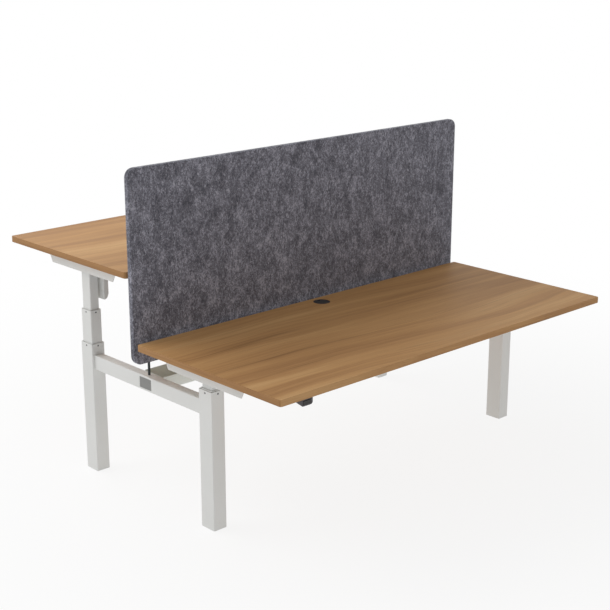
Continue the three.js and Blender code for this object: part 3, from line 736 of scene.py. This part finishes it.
for column, desk, column_frame in column_places():
    low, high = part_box(f"{column}_inner_tube")
    stage_low, stage_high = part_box(f"{column}_middle_tube")
    motor_low, motor_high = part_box(f"{column}_drive_unit")
    head_low = high.z - HEAD_PLATE
    width = stage_high.x - stage_low.x - NEXT_STAGE_STEP
    depth = stage_high.y - stage_low.y - NEXT_STAGE_STEP
    tube = box_tube(width, depth, TUBE_CORNER, low.z, head_low + HEAD_EDGE, TUBE_WALL, TUBE_EDGE)
    plate = slab(high.x - low.x, high.y - low.y, TUBE_WALL, head_low, high.z, HEAD_EDGE)
    to_column = column_frame.inverted()
    motor_ends = [to_column @ corner for corner in (motor_low, motor_high)]
    motor_near, motor_far = sorted(corner.y for corner in motor_ends)
    clear = slab(NEXT_STAGE_STEP, motor_far - motor_near + 2 * MOTOR_GAP, TUBE_WALL,
                 head_low - HEAD_PLATE, high.z + HEAD_PLATE, HEAD_EDGE)
    reach = (high.x - low.x) / 2
    clear.transform(Matrix.Translation((reach + MOTOR_GAP, (motor_near + motor_far) / 2, 0)))
    bore = pin(SPINDLE_RADIUS + BOSS_GAP, 4 * HEAD_PLATE, (0, 0, high.z), (0, 0, 1))
    head = cut(join(tube, plate), clear, bore)
    fit(f"{column}_inner_column", head, white_powder, f"{desk}_desk",
        column_frame, f"{column}_inner_tube")


# Drive units. A gearbox inside the crossbar with the motor hanging beside the column, in one coated
# cast housing with rounded edges and a joint round its lower cap.
GEARBOX_REACH = 0.024
MOTOR_NEAR = 0.0315
MOTOR_ROUND = 0.012
MOTOR_CORNER = 0.024
MOTOR_CORNER_STEPS = 10
MOTOR_ROUND_STEPS = 8
MOST_ROUND = 1 / 2.1
CAP_HEIGHT = 0.03
CAP_JOINT = 0.0008
HOUSING_EDGE = 0.0015


def round_edges(mesh, radius, steps=3):
    """Rounds a mesh's sharp edges off."""
    sharp = [edge for edge in mesh.edges if edge.is_manifold and edge.calc_face_angle() > SHARP]
    bmesh.ops.bevel(mesh, geom=sharp, offset=radius, segments=steps, profile=0.5, affect="EDGES",
                    clamp_overlap=True)
    return mesh


for column, desk, column_frame in column_places():
    low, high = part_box(f"{column}_drive_unit")
    plate_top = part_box(f"{column}_inner_tube")[1].z
    to_column = column_frame.inverted()
    corners = [to_column @ corner for corner in (low, high)]
    near_y, far_y = sorted(corner.y for corner in corners)
    far = max(corner.x for corner in corners)
    centre = Vector(((MOTOR_NEAR + far) / 2, (near_y + far_y) / 2, 0))
    joint = low.z + CAP_HEIGHT
    levels = [(height, back, 0) for back, height in bend(MOTOR_CORNER, 0, low.z, MOTOR_CORNER_STEPS)]
    levels += [(joint, 0, 0), (joint + CAP_JOINT, 0, CAP_JOINT), (joint + 2 * CAP_JOINT, 0, CAP_JOINT),
               (joint + 3 * CAP_JOINT, 0, 0), (high.z - HOUSING_EDGE, 0, 0), (high.z, 0, HOUSING_EDGE)]
    rings = []
    for height, back, inset in levels:
        soft = max(0, HOUSING_EDGE - (height - low.z))
        width = far - MOTOR_NEAR - back - 2 * inset
        depth = far_y - near_y - 2 * max(inset, soft * soft / HOUSING_EDGE)
        most = width * MOST_ROUND
        ring = outline(width, depth, min(MOTOR_ROUND, most), MOTOR_ROUND_STEPS, min(HOUSING_EDGE, most))
        rings.append([(x + MOTOR_NEAR + inset + width / 2, y + centre.y, height) for x, y in ring])
    gearbox = slab(GEARBOX_REACH + centre.x, far_y - near_y, HOUSING_EDGE, plate_top + BOSS_GAP,
                   high.z - HOUSING_EDGE / 4, HOUSING_EDGE)
    gearbox.transform(Matrix.Translation(((centre.x - GEARBOX_REACH) / 2, centre.y, 0)))
    fit(f"{column}_motor_housing", join(skin(rings), gearbox), white_powder, f"{desk}_desk",
        column_frame, f"{column}_drive_unit")


# Crossbars. Pressed steel channels, open below and at their raked ends, that carry each end of a
# worktop; the flange on the inside is notched for the gearbox.
BAR_SHEET = 0.0025
BAR_BEND = 0.0045
BAR_RAKE = 0.024
BAR_EDGE = 0.0006


def channel_section(half, low, high):
    """Half of a channel's section, from its middle on top down one flange and back up inside."""
    outside = [(half - inset, high - drop) for inset, drop in reversed(bend(BAR_BEND, 0, 0))]
    inside = [(half - inset, high - drop) for inset, drop in bend(BAR_BEND - BAR_SHEET, BAR_SHEET, BAR_SHEET)]
    return [*reversed(outside), (half, low), (half - BAR_SHEET, low), *reversed(inside)]


for column, desk, column_frame in column_places():
    low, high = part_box(f"{column}_crossbar")
    size = high - low
    flank = channel_section(size.x / 2, low.z, high.z)
    section = flank + [(-x, z) for x, z in reversed(flank)]
    rings = []
    for way in (-1, 1):
        rings.append([(x, way * (size.y / 2 - BAR_RAKE * (high.z - z) / size.z), z) for x, z in section])
    bar = skin(rings)
    motor_low, motor_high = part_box(f"{column}_drive_unit")
    to_column = column_frame.inverted()
    near_y, far_y = sorted((to_column @ corner).y for corner in (motor_low, motor_high))
    notch = slab(4 * BAR_BEND, far_y - near_y + 2 * MOTOR_GAP, BAR_SHEET, low.z - size.z,
                 high.z - BAR_SHEET, HEAD_EDGE)
    notch.transform(Matrix.Translation((size.x / 2, (near_y + far_y) / 2, 0)))
    bar = round_edges(cut(bar, notch), BAR_EDGE, 2)
    fit(f"{column}_channel", bar, white_powder, f"{desk}_desk",
        column_frame, f"{column}_crossbar")


# Rails. Two box section tubes between the crossbars of each worktop, coated with the frame and bolted
# through the flanges of the crossbars.
RAIL_WALL = 0.002
RAIL_CORNER = 0.004

for desk in ("front", "rear"):
    for rail in ("user_rail", "spine_rail"):
        low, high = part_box(f"{desk}_{rail}")
        size = high - low
        tube = box_tube(size.y, size.z, RAIL_CORNER, -size.x / 2, size.x / 2, RAIL_WALL, TUBE_EDGE)
        fit(f"{desk}_{rail}_tube", laid(tube, LAID_ALONG_X, (low + high) / 2), white_powder,
            f"{desk}_desk", node=f"{desk}_{rail}")


# Worktops. Particle board with a wood decor on both faces, 25 mm thick with its edge strip, and with a
# round hole and a seat for the cable grommet.
STRIP = 0.002
BOARD_EDGE = 0.0002
TOP_CORNER = 0.01
GROMMET_HOLE = 0.03
RIM_RADIUS = 0.0353
RIM_DEPTH = 0.0031
GROMMET_INSET = 0.056
GROMMET_SIDES = 64


def wood(name, turn=0.0, seed=0.0, darkening=0.0):
    """A brown oak decor: soft wide bands and a few dark lines along the grain, and short fine pores."""
    look = finish(name, Specular_IOR_Level=0.28)
    settled = look.node("ShaderNodeMapping", sockets={"Vector": look.place(), "Rotation": (0, 0, turn),
                                                      "Location": (seed, seed, 0)})
    x = look.part(settled, "X")
    y = look.part(settled, "Y")
    z = look.part(settled, "Z")
    wander = look.noise(look.stretched(settled, 0.8, 2.4, 2.4), 1.0, 2.0, 0.45) - 0.5
    row = y + x * 0.05 + wander * 0.2
    bands = look.noise(look.vector(x * 0.5, row * 9, z * 9), 1.0, 3.0, 0.5)
    streaks = look.noise(look.vector(x * 0.9, row * 42, z * 42), 1.0, 3.0, 0.55)
    lines = look.noise(look.vector(x * 1.6, row * 170, z * 170), 1.0, 3.0, 0.6)
    flecks = look.noise(look.vector(x * 9, y * 260, z * 260), 1.0, 3.0, 0.6)
    pores = look.noise(look.vector(x * 34, y * 1100, z * 1100), 1.0, 2.0, 0.6)
    tone = bands * 0.5 + streaks * 0.26 + lines * 0.14 + flecks * 0.1
    colour = look.ramp(tone.between(0.32, 0.68), (0.0, srgb(156, 112, 69)), (0.4, srgb(184, 138, 88)),
                       (0.7, srgb(197, 151, 99)), (1.0, srgb(214, 171, 118)))
    seam = streaks.between(0.56, 0.66) * bands.between(0.47, 0.36)
    colour = look.mix(seam * 0.5, colour, srgb(112, 76, 44))
    fine_line = lines.between(0.54, 0.64) * streaks.between(0.4, 0.6)
    colour = look.mix(fine_line * 0.34, colour, srgb(120, 82, 48))
    colour = look.mix(pores.between(0.58, 0.74) * 0.2, colour, srgb(118, 80, 46))
    # An even darkening of the whole decor; on the edge strips, the larger share on the ends is painted shade.
    colour = look.mix(darkening, colour, srgb(104, 70, 40))
    grain = lines * 0.3 + flecks * 0.3 + pores * 0.4
    shade(look, Base_Color=colour, Roughness=0.5 + streaks * 0.1 + pores * 0.06,
          Normal=look.bump(grain, 0.1, 0.0002))
    return look.owner


oak_decor = wood("oak_decor")
for desk, toward_spine in (("front", 1), ("rear", -1)):
    low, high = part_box(f"{desk}_worktop")
    size = high - low
    centre = (low + high) / 2
    hole_place = Vector((centre.x, centre.y + toward_spine * (size.y / 2 - GROMMET_INSET), high.z))
    across = Matrix.Translation((centre.x, centre.y, 0))
    board = slab(size.x - 2 * STRIP, size.y - 2 * STRIP, TOP_CORNER - STRIP, low.z, high.z, BOARD_EDGE)
    board.transform(across)
    rim_seat = pin(RIM_RADIUS, 2 * RIM_DEPTH, hole_place, (0, 0, 1), GROMMET_SIDES)
    board = cut(board, pin(GROMMET_HOLE, 4 * size.z, hole_place, (0, 0, 1), GROMMET_SIDES), rim_seat)
    fit(f"{desk}_board", board, oak_decor, f"{desk}_desk", node=f"{desk}_worktop")


# Edge strips. A strip of the same decor, a little darker, glued on in one run round each worktop, with
# its corners bent to the board's radius and its long edges rounded. Its ends are darkened more than its
# long sides, which is painted shade.
STRIP_EDGE = 0.0015
STRIP_CORNER_STEPS = 8
FLAT = 0.9

# The ends are darkened more than the long sides, as painted shade.
long_edge = wood("oak_long_edge", darkening=0.2)
short_edge = wood("oak_short_edge", math.pi / 2, 0.4, 0.28)

for desk in ("front", "rear"):
    low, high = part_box(f"{desk}_worktop")
    size = high - low
    centre = (low + high) / 2
    soft = SOFT * STRIP_EDGE
    section = [(STRIP, low.z), (STRIP_EDGE, low.z), (soft, low.z + soft), (0, low.z + STRIP_EDGE),
               (0, high.z - STRIP_EDGE), (soft, high.z - soft), (STRIP_EDGE, high.z), (STRIP, high.z)]
    rings = []
    for inset, height in section:
        ring = outline(size.x - 2 * inset, size.y - 2 * inset, TOP_CORNER - inset, STRIP_CORNER_STEPS)
        rings.append([(x, y, height) for x, y in ring])
    strip = fit(f"{desk}_edge_strip", skin(rings, closed=True), long_edge, f"{desk}_desk",
                Matrix.Translation((centre.x, centre.y, 0)))
    strip.data.materials.append(short_edge)
    for face in strip.data.polygons:
        on_end = abs(face.normal.x) > abs(face.normal.y) and abs(face.normal.z) < FLAT
        face.material_index = 1 if on_end else 0


# Cable grommets. A black moulded liner pressed into the hole of the worktop, and a flush lid with a
# slot for cables that lifts out.
LINER_EDGE = 0.0006
LINER_RIM = 0.0025
LINER_WALL = 0.0027
LEDGE = 0.0025
LID_THICKNESS = 0.004
LID_EDGE = 0.0006
SLOT_WIDTH = 0.018
SLOT_DEPTH = 0.013

for desk, toward_spine in (("front", 1), ("rear", -1)):
    low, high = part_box(f"{desk}_grommet_liner")
    centre = (low + high) / 2
    rim = (high.x - low.x) / 2
    sleeve = GROMMET_HOLE - BOSS_GAP
    bore = sleeve - LINER_WALL
    ledge = bore - LEDGE
    ledge_top = high.z - LID_THICKNESS - BOSS_GAP
    profile = [
        (ledge, low.z),
        (sleeve, low.z),
        (sleeve, high.z - LINER_RIM),
        (rim, high.z - LINER_RIM),
        (rim, high.z - LINER_EDGE),
        (rim - LINER_EDGE, high.z),
        (bore + LINER_EDGE, high.z),
        (bore, high.z - LINER_EDGE),
        (bore, ledge_top),
        (ledge, ledge_top),
    ]
    upright = Matrix.Translation((centre.x, centre.y, 0))
    fit(f"{desk}_grommet_sleeve", turned(profile, GROMMET_SIDES, closed=True), black_plastic,
        f"{desk}_desk", upright, f"{desk}_grommet_liner")

    lid_low, lid_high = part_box(f"{desk}_grommet_lid")
    radius = bore - BOSS_GAP
    disc = turned([(radius - LID_EDGE, lid_low.z), (radius, lid_low.z + LID_EDGE),
                   (radius, lid_high.z - LID_EDGE), (radius - LID_EDGE, lid_high.z)], GROMMET_SIDES)
    slot_end = radius - SLOT_DEPTH + SLOT_WIDTH / 2
    slot = slab(SLOT_WIDTH, 2 * radius, SLOT_WIDTH / 2, lid_low.z - radius, lid_high.z + radius, LID_EDGE)
    slot.transform(Matrix.Translation((0, slot_end - SLOT_WIDTH / 2 + radius, 0)))
    facing = Matrix.Rotation(0 if toward_spine > 0 else math.pi, 4, "Z")
    fit(f"{desk}_grommet_cap", cut(disc, slot), black_plastic, f"{desk}_lid",
        upright @ facing, f"{desk}_grommet_lid")


# Control boxes. A flat charcoal moulded case under each worktop, screwed up through an ear at each end,
# with three round sockets and a mains inlet in one side.
BOX_CORNER = 0.004
BOX_EDGE = 0.0015
EAR_LENGTH = 0.014
EAR_THICKNESS = 0.003
SOCKET_RADIUS = 0.007
SOCKET_DEPTH = 0.009
SOCKET_PITCH = 0.03
INLET_WIDTH = 0.026
INLET_HEIGHT = 0.02
INLET_DEPTH = 0.014
INLET_OFFSET = 0.085
VENT_PITCH = 0.012
VENT_WIDTH = 0.003
VENT_DEPTH = 0.0012
VENT_LENGTH = 0.05
VENTS = 9

charcoal_plastic = moulded_plastic("charcoal_moulded_plastic", srgb(74, 70, 73), 0.5)


def desk_places():
    """Each desk's name and the turn that brings the front desk's sides to its own."""
    yield "front", Matrix.Identity(4)
    yield "rear", Matrix.Rotation(math.pi, 4, "Z")


for desk, facing in desk_places():
    low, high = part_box(f"{desk}_control_box")
    size = high - low
    centre = (low + high) / 2
    length = size.x - 2 * EAR_LENGTH
    middle = (low.z + high.z) / 2
    case = slab(length, size.y, BOX_CORNER, low.z, high.z, BOX_EDGE)
    ears = slab(size.x, size.y / 2, BOX_CORNER, high.z - EAR_THICKNESS, high.z, BOX_EDGE / 2)
    case = join(case, ears)
    face = size.y / 2
    tools = []
    for place in (-1, 0, 1):
        socket_place = (INLET_OFFSET / 2 + place * SOCKET_PITCH, face, middle)
        tools.append(pin(SOCKET_RADIUS, 2 * SOCKET_DEPTH, socket_place, (0, 1, 0)))
    inlet = slab(INLET_WIDTH, INLET_HEIGHT, BOX_EDGE, -INLET_DEPTH, INLET_DEPTH, BOX_EDGE / 8)
    tools.append(laid(inlet, LAID_ALONG_Y, (-INLET_OFFSET, face, middle)))
    for vent in range(VENTS):
        groove = slab(VENT_WIDTH, VENT_LENGTH, VENT_WIDTH / 2, low.z - VENT_DEPTH, low.z + VENT_DEPTH,
                      VENT_DEPTH / 8)
        groove.transform(Matrix.Translation(((vent - (VENTS - 1) / 2) * VENT_PITCH, 0, 0)))
        tools.append(groove)
    fit(f"{desk}_control_case", cut(case, *tools), charcoal_plastic, f"{desk}_desk",
        Matrix.Translation((centre.x, centre.y, 0)) @ facing, f"{desk}_control_box")


# Handsets. A charcoal moulded wedge screwed under the front edge of each worktop, with a pocket in its
# front for the up-down rocker, which tips on two pins.
HANDSET_CORNER = 0.01
HANDSET_EDGE = 0.001
HANDSET_TAIL = 0.012
HANDSET_CORNER_STEPS = 8
POCKET_DEPTH = 0.012
POCKET_SWING = 0.0012
ROCKER_DISH = 0.0012
DISH_STEPS = 4
ROCKER_PROUD = 0.0025
ROCKER_FLANK = 0.001
ROCKER_TAIL = 0.008
ROCKER_TAIL_HALF = 0.0025
ROCKER_EDGE = 0.0006
PIVOT_RADIUS = 0.0015
PIVOT_DEPTH = 0.004
PIVOT_LENGTH = 0.002
MARK_HALF = 0.002
MARK_LOW = 0.0022
MARK_PROUD = 0.0003

for desk, facing in desk_places():
    low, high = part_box(f"{desk}_handset")
    key_low, key_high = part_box(f"{desk}_rocker")
    size = high - low
    centre = (low + high) / 2
    half = size.x / 2
    key_half = (key_high.z - key_low.z) / 2
    key_middle = (key_high.z + key_low.z) / 2
    key_width = key_high.x - key_low.x - 2 * PIVOT_LENGTH
    front = -size.y / 2
    arc = [step / HANDSET_CORNER_STEPS * math.pi / 2 for step in range(HANDSET_CORNER_STEPS + 1)]
    corner = [(HANDSET_CORNER * (1 - math.cos(a)), HANDSET_CORNER * (1 - math.sin(a))) for a in arc]
    rings = []
    for y, base in ((front, low.z), (-front, high.z - HANDSET_TAIL)):
        left = [(inset - half, base + rise) for inset, rise in corner]
        ring = [(-half, high.z), *left, *((-x, z) for x, z in reversed(left)), (half, high.z)]
        rings.append([(x, y, z) for x, z in ring])
    housing = round_edges(skin(rings), HANDSET_EDGE)
    pocket = slab(key_width + 2 * BOSS_GAP, 2 * (key_half + POCKET_SWING), HANDSET_EDGE, -POCKET_DEPTH,
                  POCKET_DEPTH, HANDSET_EDGE / 8)
    pocket = laid(pocket, LAID_ALONG_Y, (0, front, key_middle))
    pivot_place = (0, PIVOT_DEPTH + front, key_middle)
    pivot_length = key_width + 2 * PIVOT_LENGTH
    pivot_hole = pin(PIVOT_RADIUS + BOSS_GAP, pivot_length + 2 * BOSS_GAP, pivot_place, (1, 0, 0))
    upright = Matrix.Translation((centre.x, centre.y, 0)) @ facing
    fit(f"{desk}_handset_housing", cut(housing, pocket, pivot_hole), charcoal_plastic,
        f"{desk}_desk", upright, f"{desk}_handset")

    shares = [step / DISH_STEPS for step in range(-DISH_STEPS, DISH_STEPS + 1)]
    dish = [(ROCKER_DISH * (1 - share ** 2) - ROCKER_PROUD, key_half * share) for share in shares]
    section = [(ROCKER_FLANK, -key_half), (ROCKER_TAIL, -ROCKER_TAIL_HALF), (ROCKER_TAIL, ROCKER_TAIL_HALF),
               (ROCKER_FLANK, key_half), *reversed(dish)]
    rings = []
    for x in (-key_width / 2, key_width / 2):
        rings.append([(x, front + y, key_middle + z) for y, z in section])
    key = round_edges(skin(rings), ROCKER_EDGE, 2)
    pivot = pin(PIVOT_RADIUS, pivot_length, pivot_place, (1, 0, 0))
    marks = []
    for way in (-1, 1):
        rings = []
        for sunk in (-MARK_PROUD, ROCKER_DISH):
            ring = []
            for x, rise in ((-MARK_HALF, MARK_LOW), (MARK_HALF, MARK_LOW), (0, MARK_LOW + MARK_HALF)):
                face = ROCKER_DISH * (1 - (rise / key_half) ** 2) - ROCKER_PROUD
                ring.append((x, front + face + sunk, key_middle + way * rise))
            rings.append(ring)
        marks.append(skin(rings))
    fit(f"{desk}_rocker_key", join(key, pivot, *marks), black_plastic, f"{desk}_rocker_key",
        upright, f"{desk}_rocker")


# Screws. Zinc plated pan head screws with a hexagon socket, which hold the crossbars to the worktops,
# the rails to the crossbars and the control boxes to the worktops.
HEAD_RADIUS = 0.0055
HEAD_HEIGHT = 0.0032
HEAD_RIM = 0.35
HEAD_SIDES = 24
DOME_STEPS = 6
DOME_REACH = math.radians(66)
SOCKET_ACROSS = 0.0024
SOCKET_SINK = 0.0018
BAR_SCREWS = (-0.19, -0.115, 0.115, 0.19)
RAIL_BOLTS = 0.01

screw_look = finish("zinc_plate", Metallic=0.85)
screw_grain = screw_look.noise(screw_look.place(), 600, 3.0)
shade(screw_look, Base_Color=screw_look.mix(screw_grain, srgb(168, 170, 170), srgb(205, 206, 204)),
      Roughness=0.3 + screw_grain * 0.2)


def screw_head(place, outward):
    """A pan head that stands on a face at place, looking along outward, with its socket sunk in."""
    arc = [step / DOME_STEPS * DOME_REACH for step in range(DOME_STEPS + 1)]
    rises = [HEAD_RIM + (1 - HEAD_RIM) * math.sin(a) for a in arc]
    dome = [(HEAD_RADIUS * math.cos(a), HEAD_HEIGHT * rise) for a, rise in zip(arc, rises)]
    head = turned([(HEAD_RADIUS, 0), *dome], HEAD_SIDES)
    socket = turned([(SOCKET_ACROSS, HEAD_HEIGHT - SOCKET_SINK), (SOCKET_ACROSS, 2 * HEAD_HEIGHT)], 6)
    head = cut(head, socket)
    head.transform(Matrix.Translation(place) @ along(outward))
    return head


def gathered(meshes):
    """Separate small pieces of one kind in one mesh."""
    whole = bmesh.new()
    for mesh in meshes:
        data = bpy.data.meshes.new("one")
        mesh.to_mesh(data)
        mesh.free()
        whole.from_mesh(data)
        bpy.data.meshes.remove(data)
    return whole


for desk, facing in desk_places():
    heads = []
    for column, its_desk, column_frame in column_places():
        if its_desk != desk:
            continue
        low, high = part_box(f"{column}_crossbar")
        rail_low, rail_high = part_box(f"{desk}_user_rail")
        web = high.z - BAR_SHEET
        inside = (high.x - low.x) / 2 - BAR_SHEET
        for offset in BAR_SCREWS:
            heads.append(screw_head(column_frame @ Vector((0, offset, web)), (0, 0, -1)))
        rail_height = (rail_low.z + rail_high.z) / 2
        inwards = (column_frame.to_3x3() @ Vector((-1, 0, 0))).normalized()
        for rail in ("user_rail", "spine_rail"):
            rail_low, rail_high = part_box(f"{desk}_{rail}")
            rail_y = (column_frame.inverted() @ ((rail_low + rail_high) / 2)).y
            for aside in (-RAIL_BOLTS, RAIL_BOLTS):
                bolt_place = column_frame @ Vector((inside, rail_y + aside, rail_height))
                heads.append(screw_head(bolt_place, inwards))
    low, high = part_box(f"{desk}_control_box")
    for x in (low.x + EAR_LENGTH / 2, high.x - EAR_LENGTH / 2):
        heads.append(screw_head(Vector((x, (low.y + high.y) / 2, high.z - EAR_THICKNESS)), (0, 0, -1)))
    fit(f"{desk}_screws", gathered(heads), screw_look.owner, f"{desk}_desk")
